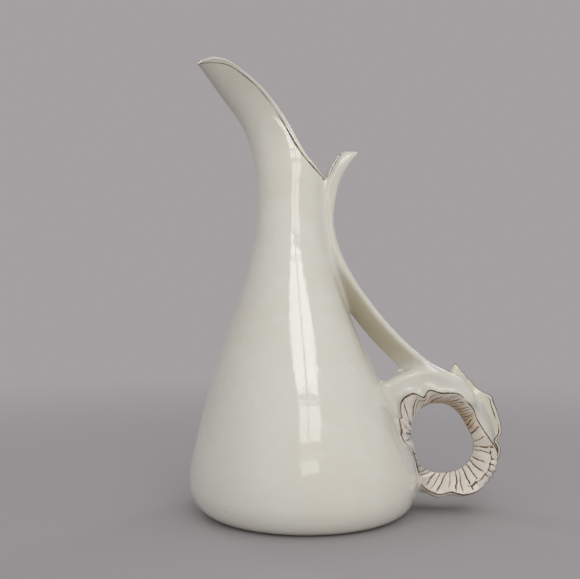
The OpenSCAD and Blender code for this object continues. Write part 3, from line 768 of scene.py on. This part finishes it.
def band_mesh(middle, normal, width, height):
    """Bands carried along rows of points: a five-cornered section, two corners sunk under the face."""
    side = unit(np.cross(np.gradient(middle, axis=1), normal))
    across = np.array([-0.5, -0.28, 0.28, 0.5, 0.0])
    up = np.array([0.0, 1.0, 1.0, 0.0, -1.5])
    points = (middle[:, :, None] + side[:, :, None] * across[:, None] * width[:, :, None, None]
              + normal[:, :, None] * up[:, None] * height)
    runs, steps = middle.shape[:2]
    index = np.arange(runs * steps * 5).reshape(runs, steps, 5)
    quads = quads_of(np.concatenate([index, index[:, :, :1]], 2))
    return points.reshape(-1, 3), [quads, index[:, 0], index[:, -1, ::-1]]


def on_face(face, a, b):
    """Points of a two-parameter face and its unit normal there."""
    p = face(a, b)
    n = np.cross(face(a + 0.05, b) - face(a - 0.05, b), face(a, b + 0.002) - face(a, b - 0.002))
    return p, unit(n)


def worn(run, seed):
    """Uneven width of a hand-painted line: slow swells, thin stretches and a ragged edge."""
    slow = np.sin(run * 0.23 + seed) * np.sin(run * 0.11 + 2.1 * seed)
    ragged = 0.08 * np.sin(run * 1.7 + 3.7 * seed) + 0.06 * np.sin(run * 3.1 + seed)
    return np.clip(0.78 + 0.3 * slow + ragged, 0.3, 1.2)


def run_of(points):
    """Distance along rows of points."""
    step = np.linalg.norm(np.diff(points, axis=1), axis=-1)
    return np.concatenate([np.zeros((len(points), 1)), np.cumsum(step, 1)], 1)


def rim_line():
    """Line along the mouth, a little under the rim, from the notch up one side, round the tip and back: the
    rim's way in height and turn, moved square to itself on the face."""
    z = mix(NOTCH_Z + RIM_START, float(mouth_top(np.float64(1))), np.linspace(0, 1, 160))
    across = np.linspace(1, -1, 81)[1:-1]
    height = np.concatenate([z, mouth_top(across), z[::-1]])
    turn = np.concatenate([cut_turn(z), mouth_turn(mouth_top(across), across), 360 - cut_turn(z)[::-1]])
    side, tip = curve(RIM_DROP, z), curve(TIP_DROP, np.abs(across))
    drop = np.concatenate([side, tip, side[::-1]])
    arc = np.radians(np.hypot(half_len(height) * sind(turn), half_w(height) * cosd(turn)))
    way = np.cumsum(np.hypot(np.gradient(height), np.gradient(turn) * arc))
    even = np.linspace(way[0], way[-1], 700)
    height, turn, drop, arc = (np.interp(even, way, v) for v in (height, turn, drop, arc))
    reach = 40
    soft = np.hanning(2 * reach + 1) / np.hanning(2 * reach + 1).sum()
    smooth = lambda v: np.convolve(np.pad(v, reach, mode="reflect", reflect_type="odd"), soft, mode="valid")
    dz, ds = smooth(np.gradient(height)), smooth(np.gradient(turn)) * arc
    size = np.hypot(dz, ds)
    height, turn = smooth(height - drop * ds / size)[None], smooth(turn + drop * dz / size / arc)[None]
    p, n = on_face(lambda a, b: wall_point(b, a), turn, height)
    away = p[..., :2] - np.stack([mid_x(p[..., 2]), 0 * p[..., 2]], -1)
    n *= np.sign((n[..., :2] * away).sum(-1))[..., None]
    width = mix(RIM_LINE_W, RIM_LINE_TOP_W, ease((height - 242) / 16)) * (1 - 0.5 * hump(height, 262, 11))
    return band_mesh(p, n, width * worn(run_of(p), 0.7), RIM_GOLD_H)


def edge_line(face, length, seed, kept):
    """Gold over a frill's edge: part of a circle a little larger than the edge, its span uneven and only as
    wide as wear has kept it, carried round."""
    span = worn(EDGE_TURNS * 0.55, seed) * kept
    bend = np.radians(mix(90 - 75 * span, 90 + 60 * span, np.linspace(0, 1, 7)))
    half = FRILL_EDGE_T / 2
    arc = lambda size, b: face(EDGE_TURNS, 1 + size / length * np.sin(b), half - size * np.cos(b))
    over, under = arc(half + GOLD_OVER, bend), arc(half - GOLD_UNDER, bend[:, ::-3])
    return closed_band(np.concatenate([over, under], 1))


def frill_band(face, turn, t, width, wave=0.0):
    """Bands along rows of turns and places on the face that shows, the front frill's inner one or the back
    frill's outer one, with an optional wave in their height."""
    out, lift = (lambda b: 0 * b, -0.5) if face is front_frill else (frill_t, 0.5)
    p, n = on_face(lambda a, b: face(a, b, out(b)), turn, t)
    n *= np.sign((n * (face(turn, t, out(t) + lift) - p)).sum(-1))[..., None]
    run = run_of(p)
    p = p + n * (wave * (0.5 + 0.5 * np.sin(2.1 * run)))[..., None]
    return band_mesh(p, n, width * worn(run + 3 * np.arange(len(p))[:, None], 0.4), GOLD_H + 0.6 * wave)


def long_lines():
    """Lines in the gills, from the hole to the frill's edge or the flap, each bent and worn in its own
    way."""
    g = np.arange(len(GILL))[:, None]
    root, tip = GILL[:, :1], GILL[:, 1:]
    share = np.linspace(0, 1, 44)[None]
    first = 0.02 + 0.06 * (np.sin(7.7 * g) > 0.3)
    last = 0.97 - 0.1 * (np.sin(4.1 * g + 1) > 0.55) - 0.23 * roll_at(tip)
    t = mix(first, last, share)
    turn = mix(root, tip, t) + 0.8 * np.sin(4 * t + 2.1 * g) + 0.4 * np.sin(11 * t + g)
    # lines drawn wider over the ear's folds: partly the gold line, partly painted shade in the crease
    folds_and_shade = 1 + 0.8 * hump(root, 163, 30) + 1.2 * hump(root, 180, 4) * hump(share, 0.45, 0.4)
    taper = np.clip(np.minimum(share * 1.5, 1 - share) / 0.15, 0.25, 1) * (0.85 + 0.3 * np.sin(2.9 * g))
    low = mix(1.0, 1.35, ease((-root - 10) / 60))
    return frill_band(front_frill, turn, t, low * taper * folds_and_shade)


def short_lines():
    """Short lines between the flap's scallops, from its crest to its edge."""
    k = np.arange(9)[:, None]
    share = np.linspace(0, 1, 44)[None]
    turn = FLAP_FIRST - FLAP_STEP * k + 0.8 * np.sin(3 * k) * share
    return frill_band(front_frill, turn, mix(0.8, 0.98, share) + 0 * k,
                      1.2 * np.clip((1 - share) * 4, 0.2, 1) + 0 * k)


def crest_lines():
    """A polished line along the flap's crest, broken by wear and painted pale as a painted glint, and a dark
    one beside it.
    """
    turn = np.linspace(-64, -8, 90)[None]
    broken = np.clip(0.7 + 0.7 * np.sin(0.47 * turn), 0.2, 1.1)
    t = 0.79 + 0.014 * np.sin(0.5 * turn)
    bright = frill_band(front_frill, turn, t, 1.5 * broken, 0.35)
    return bright, frill_band(front_frill, turn, t + 0.045, 1.1 * np.clip(1.5 - broken, 0.15, 1))


def gill_lines():
    """All the lines on the front frill's face, with one at the hole. Gives the polish and painted glint of
    each point too: the crest's polished line, which carries the painted glint, comes first."""
    crest, shade = crest_lines()
    turn = np.linspace(-128, 70, 260)[None]
    hole = frill_band(front_frill, turn, 0.012 + 0 * turn, 0.7 + 0 * turn)
    lines = joined([crest, long_lines(), short_lines(), shade, hole])
    return lines, (np.arange(len(lines[0])) < len(crest[0])) * 1.0


def notch_lines():
    """Two dark lines on the back frill's face just inside its edge, past the notch and above it."""
    share = np.linspace(0, 1, 90)[None]
    turn = mix(np.array([[-24.0], [15.0]]), np.array([[10.0], [40.0]]), share)
    return frill_band(back_frill, turn, 0.97 - 0.008 * np.sin(5 * share) + 0 * turn,
                      np.array([[1.2], [0.8]]) * np.clip(np.minimum(share, 1 - share) * 5, 0.2, 1))


def lip_line():
    """Line along the inner edge of the thumb lip, up one side, across its top and down the other."""
    z = np.linspace(219, 233.5, 60)
    xc, half_t, fall = (np.interp(z, BAR[:, 0], BAR[:, k]) for k in (1, 2, 5))
    x = xc - half_t / fall * 0.82
    near = np.stack([x, np.full_like(z, -8.0), z], 1)
    top_y = np.linspace(-7.5, 7.5, 20)
    top = np.stack([np.full_like(top_y, x[-1] + 0.6), top_y, np.full_like(top_y, 234.6)], 1)
    way = np.concatenate([near, top, near[::-1] * [1, -1, 1]])
    p = onto_skin(joined_field, way, 1.0)
    p, n = p[None], unit(gradient_of(joined_field, p))[None]
    return band_mesh(p, n, 0.8 * worn(run_of(p), 1.9), GOLD_H)


def joined(meshes):
    """Several meshes' points and faces as one."""
    points, faces, start = [], [], 0
    for p, f in meshes:
        points.append(p)
        faces += [part + start for part in f]
        start += len(p)
    return np.concatenate(points), faces


# Finishes
def operator(name, *order):
    """Method that joins two shader values, in a given order, by a Math node."""
    def join(*values):
        return values[0].finish.node("Math", {"operation": name}, {k: values[i] for k, i in enumerate(order)})
    return join


class Wire:
    """A shader value: arithmetic on it adds Math nodes."""

    def __init__(self, finish, socket):
        self.finish, self.socket = finish, socket

    __add__, __radd__ = operator("ADD", 0, 1), operator("ADD", 1, 0)
    __sub__, __rsub__ = operator("SUBTRACT", 0, 1), operator("SUBTRACT", 1, 0)
    __mul__, __rmul__ = operator("MULTIPLY", 0, 1), operator("MULTIPLY", 1, 0)
    __gt__ = operator("GREATER_THAN", 0, 1)

    def step(self, low, high):
        """0 below low, 1 above high, smooth between."""
        return self.finish.node("MapRange", {"interpolation_type": "SMOOTHSTEP"},
                                {"Value": self, "From Min": low, "From Max": high}, "Result")


class Finish:
    """A node tree under construction."""

    def __init__(self, tree):
        self.tree = tree
        tree.nodes.clear()

    def node(self, kind, settings=None, inputs=None, output=0):
        """A node of a type, with its settings first and then the values or links of its sockets."""
        node = self.tree.nodes.new("ShaderNode" + kind)
        for key, value in (settings or {}).items():
            setattr(node, key, value)
        for key, value in (inputs or {}).items():
            if isinstance(value, Wire):
                self.tree.links.new(value.socket, node.inputs[key])
            else:
                node.inputs[key].default_value = value
        return Wire(self, node.outputs[output]) if node.outputs else node

    def blend(self, factor, a, b):
        """Colour from a to b by a factor."""
        return self.node("Mix", {"data_type": "RGBA"}, {0: factor, 6: a, 7: b}, 2)

    def noise(self, place, scale, detail, roughness=0.5):
        """Cloudy noise about a half."""
        return self.node("TexNoise", inputs={"Vector": place, "Scale": scale, "Detail": detail,
                                             "Roughness": roughness})

    def mark(self, name):
        """A value carried by the piece's points."""
        return self.node("Attribute", {"attribute_name": name}, output="Fac")


def material(name):
    made = bpy.data.materials.new(name)
    made.use_nodes = True
    return made, Finish(made.node_tree)


def glaze_finish():
    """Ivory glaze: cloudy warmth, the marks of its points (painted shade and painted light among them), fine
    orange peel, a slow flow, a few pinholes, and bare clay on the standing face."""
    made, f = material("ivory_glaze")
    place = f.node("TexCoord", output="Object")
    z = f.node("SeparateXYZ", inputs={0: place}, output="Z")
    gloss, stain, brown_wash_and_shade, dim, pale = (f.mark(name) for name in ("gloss", "stain", "brown_wash_and_shade", "dim", "pale"))
    cloud = f.noise(place, 16.0, 4.0, 0.55)
    mottle = f.noise(place, 70.0, 3.0, 0.6)
    peel = f.noise(place, 420.0, 2.0)
    flow = f.noise(place, 105.0, 1.0, 0.4)
    spot = f.node("TexVoronoi", {"feature": "F1"}, {"Vector": place, "Scale": 42.0}, "Distance")
    pick = f.node("TexVoronoi", {"feature": "F1"}, {"Vector": place, "Scale": 42.0}, "Color")
    chosen = f.node("SeparateColor", inputs={0: pick}) > 0.8
    pit = (1 - spot.step(0.012, 0.03)) * chosen
    bare = 1 - z.step(0.0006, 0.0016)
    ivory = f.blend(cloud.step(0.32, 0.68), (0.80, 0.785, 0.715, 1), (0.77, 0.745, 0.655, 1))
    ivory = f.blend(mottle.step(0.45, 0.8) * 0.5, ivory, (0.83, 0.82, 0.77, 1))
    # pale is painted light; the yellow tint is partly pooled glaze and partly painted shade; the brown wash
    # is partly painted shade; the grey is painted shade
    ivory = f.blend(pale, ivory, (0.90, 0.825, 0.74, 1))
    ivory = f.blend(stain * (0.7 + 0.6 * cloud), ivory, (0.62, 0.535, 0.355, 1))
    ivory = f.blend(brown_wash_and_shade * (0.7 + 0.6 * cloud), ivory, (0.51, 0.335, 0.20, 1))
    ivory = f.blend(dim, ivory, (0.40, 0.375, 0.32, 1))
    ivory = f.blend(pit * 0.75, ivory, (0.20, 0.15, 0.10, 1))
    colour = f.blend(bare, ivory, (0.50, 0.41, 0.31, 1))
    height = 0.12 * peel + 0.3 * mottle + 2.8 * flow - 1.7 * pit
    bump = f.node("Bump", inputs={"Strength": 1.0, "Distance": 0.0001, "Height": height}, output="Normal")
    shader = f.node("BsdfPrincipled", inputs={
        "Base Color": colour, "Roughness": 0.38 - 0.32 * gloss + 0.08 * cloud + 0.6 * bare, "IOR": 1.5,
        "Normal": bump, "Coat Weight": gloss - gloss * bare, "Coat Roughness": 0.025, "Coat IOR": 1.5,
        "Subsurface Weight": 0.06, "Subsurface Scale": 0.004, "Subsurface Radius": (1.0, 0.8, 0.55)})
    f.node("OutputMaterial", inputs={"Surface": shader})
    return made


def gilt_finish():
    """Worn gold lustre: dark where it is thin, brighter in flecks, and smoother where it is polished, with a
    pale painted glint there.
    """
    made, f = material("worn_gilt")
    place = f.node("TexCoord", output="Object")
    wear = f.noise(place, 150.0, 4.0, 0.65)
    fleck = f.noise(place, 900.0, 2.0)
    polish = f.mark("polish")
    bright = wear.step(0.45, 0.68)
    colour = f.blend(bright, (0.085, 0.055, 0.036, 1), (0.50, 0.32, 0.15, 1))
    # pale colour on the polished crest: a painted glint
    colour = f.blend(polish, colour, (0.98, 0.90, 0.66, 1))
    bump = f.node("Bump", inputs={"Strength": 0.4, "Distance": 0.0001, "Height": fleck}, output="Normal")
    shader = f.node("BsdfPrincipled", inputs={
        "Base Color": colour, "Metallic": 0.25 + 0.5 * bright - 0.3 * bright * polish,
        "Roughness": 0.45 - 0.2 * bright - 0.12 * polish, "Normal": bump,
        "Coat Weight": 0.25 + 0.75 * polish, "Coat Roughness": 0.08})
    f.node("OutputMaterial", inputs={"Surface": shader})
    return made


# Finish of each slot, and the marks of a plain piece in it
FINISHES = {"glaze": glaze_finish(), "gilt": gilt_finish()}
PLAIN = {"glaze": {"gloss": 1.0, "stain": 0.0, "brown_wash_and_shade": 0.0, "dim": 0.0, "pale": 0.0}, "gilt": {"polish": 0.0}}


vessel, rolled = vessel_mesh()
handle = handle_mesh()
front = frill_mesh(front_frill, FRONT_L, 900, 34)
back = frill_mesh(back_frill, BACK_L, 540, 20)
gills, polish = gill_lines()
make_piece("vessel", vessel, "glaze", ["base", "body", "neck_spout"], dim=vessel_dim(vessel[0], rolled))
make_piece("handle", handle, "glaze", ["rear_lip", "strap_handle", "ring_saddle", "finger_ring"],
           **handle_marks(*handle[0].T))
# the front frill is painted paler as painted light against the shade inside the funnel, with brown wash and
# grey painted shade from its funnel marks
make_piece("front_frill_gills", front, "glaze", ["front_frill"],
           gloss=0.3, pale=0.85, **funnel_marks(*front[0].T))
# the back frill's yellow tint is painted shade
make_piece("back_frill_ruffle", back, "glaze", ["back_frill"], gloss=0.8, stain=0.25)
make_piece("gold_mouth_line", joined([rim_line(), lip_line()]), "gilt", ["gilt_rim_line"])
make_piece("gold_frill_lines", joined([edge_line(front_frill, FRONT_L, 1.3, FRONT_KEPT),
                                       edge_line(back_frill, BACK_L, 2.9, BACK_KEPT), notch_lines()]),
           "gilt", ["gilt_frill_edges"])
# the crest line's polish carries a painted glint
make_piece("gold_gill_lines", gills, "gilt", ["gilt_gills"], polish=polish)

# Stage: a pale floor that fades into the background, soft light all round, a paned window above the camera,
# a low pane in front that leaves no reflection, and two panes behind
BACKDROP = (0.375, 0.354, 0.36, 1)
FLOOR_LIT, FLOOR_SEEN, FLOOR_FADE = (0.5, 0.485, 0.485, 1), (0.455, 0.432, 0.441, 1), (0.25, 0.95)
SKY_WAY, SKY_LOW, SKY_HIGH = (0.08, -0.47, 0.88), (0.10, 0.098, 0.096, 1), (0.67, 0.67, 0.675, 1)
WINDOW_AT, WINDOW_TILT = (0.06, -0.5, 0.395), math.radians(11)
EYE, LENS, SENSOR_W = (-0.0095, -0.563, 0.1456), 52.76, 36.0
# Rows of the window's sashes: bottom, top, left side, upright bar and right side
LOW_SASH = [(-104, -85, -91, -1, 128), (-85, -65, -79, 14, 152), (-65, -46, -66, 29, 176),
            (-46, -26, -54, 45, 200), (-26, -7, -50, 60, 210)]
HIGH_SASH = [(10, 40, -48, 75, 230), (40, 75, -58, 95, 262), (75, 110, -72, 112, 335),
             (110, 145, -95, 128, 395), (145, 165, -105, 145, 405)]
# Each sash with half its bar's width and its brightness
WINDOW = [(LOW_SASH, 7, 1.8), (HIGH_SASH, 11, 2.8)]


def floor_finish():
    """Matt floor, a little darker as the camera sees it, that fades out with distance."""
    made, f = material("pale_floor")
    place = f.node("TexCoord", output="Object")
    length = f.node("VectorMath", {"operation": "LENGTH"}, {0: place}, "Value")
    seen = f.node("LightPath", output="Is Camera Ray")
    lit = f.node("BsdfDiffuse", inputs={"Color": f.blend(seen, FLOOR_LIT, FLOOR_SEEN)})
    clear = f.node("BsdfTransparent")
    mixed = f.node("MixShader", inputs={0: length.step(*FLOOR_FADE), 1: lit, 2: clear})
    f.node("OutputMaterial", inputs={"Surface": mixed})
    return made


def pane(name, place, rotation, width, height, glow):
    """Soft window pane: an area light of a given brightness, unseen by the camera."""
    lamp = bpy.data.lights.new(name, "AREA")
    lamp.shape = "RECTANGLE"
    lamp.size, lamp.size_y = width, height
    lamp.energy = glow * math.pi * width * height
    lamp.color = (1.0, 0.99, 0.97)
    made = bpy.data.objects.new(name, lamp)
    made.location = place
    made.rotation_euler = rotation
    made.visible_camera = False
    bpy.context.scene.collection.objects.link(made)
    return made


def stage():
    """The floor, the light and the camera."""
    bpy.ops.mesh.primitive_circle_add(vertices=96, radius=1.0, fill_type="NGON")
    floor = bpy.context.object
    floor.name = "floor"
    floor.data.materials.append(floor_finish())

    world = bpy.data.worlds.new("studio")
    bpy.context.scene.world = world
    world.use_nodes = True
    f = Finish(world.node_tree)
    camera_ray, glossy_ray, clear_ray = (f.node("LightPath", output=f"Is {kind} Ray")
                                         for kind in ("Camera", "Glossy", "Transmission"))
    unseen = (1 - camera_ray) * (1 - glossy_ray) * (1 - clear_ray)
    backdrop = f.node("Background", inputs={"Color": BACKDROP, "Strength": 1.0})
    way = f.node("TexCoord", output="Generated")
    lean = f.node("VectorMath", {"operation": "DOT_PRODUCT"}, {0: way, 1: SKY_WAY}, "Value")
    shade = f.blend(0.5 + 0.5 * lean, SKY_LOW, SKY_HIGH)
    ambient = f.node("Background", inputs={"Color": shade, "Strength": 1.0})
    mixed = f.node("MixShader", inputs={0: unseen, 1: backdrop, 2: ambient})
    f.node("OutputWorld", inputs={"Surface": mixed})

    window = [("foot", -100, 110, -150, -108, 0.3), ("sill", -115, 45, -207, -152, 1.2)]
    for sash, gap, glow in WINDOW:
        for low, high, left, bar, right in sash:
            window.append((f"left_{low}", left, bar - gap, low, high, glow))
            window.append((f"right_{low}", bar + gap, right, low, high, glow))
    cos_tilt, sin_tilt = math.cos(WINDOW_TILT), math.sin(WINDOW_TILT)
    for name, left, right, low, high, glow in window:
        u, v = (left + right) / 2, (low + high) / 2
        place = (WINDOW_AT[0] + 0.001 * (u * cos_tilt - v * sin_tilt), WINDOW_AT[1],
                 WINDOW_AT[2] + 0.001 * (u * sin_tilt + v * cos_tilt))
        turned = (math.pi / 2, -WINDOW_TILT, 0)
        pane("pane_" + name, place, turned, (right - left) / 1000, (high - low) / 1000, glow)
    pane("front_fill", (0.25, -1.1, 0.18), (math.pi / 2, 0, 0.22), 0.6, 0.3, 3.5).visible_glossy = False
    pane("back_right", (0.95, 1.08, 1.05), (math.radians(-57.5), 0, math.radians(-41)), 0.4, 0.7, 2.4)
    pane("back_left", (-0.95, 1.3, 1.02), (math.radians(-61), 0, math.radians(36)), 0.22, 0.75, 4.0)

    camera = bpy.data.cameras.new("camera")
    camera.sensor_width = SENSOR_W
    camera.lens = LENS
    eye = bpy.data.objects.new("camera", camera)
    eye.location = EYE
    eye.rotation_euler = (math.pi / 2, 0, 0)
    bpy.context.scene.collection.objects.link(eye)
    bpy.context.scene.camera = eye
    bpy.context.scene.view_settings.view_transform = "Standard"


stage()
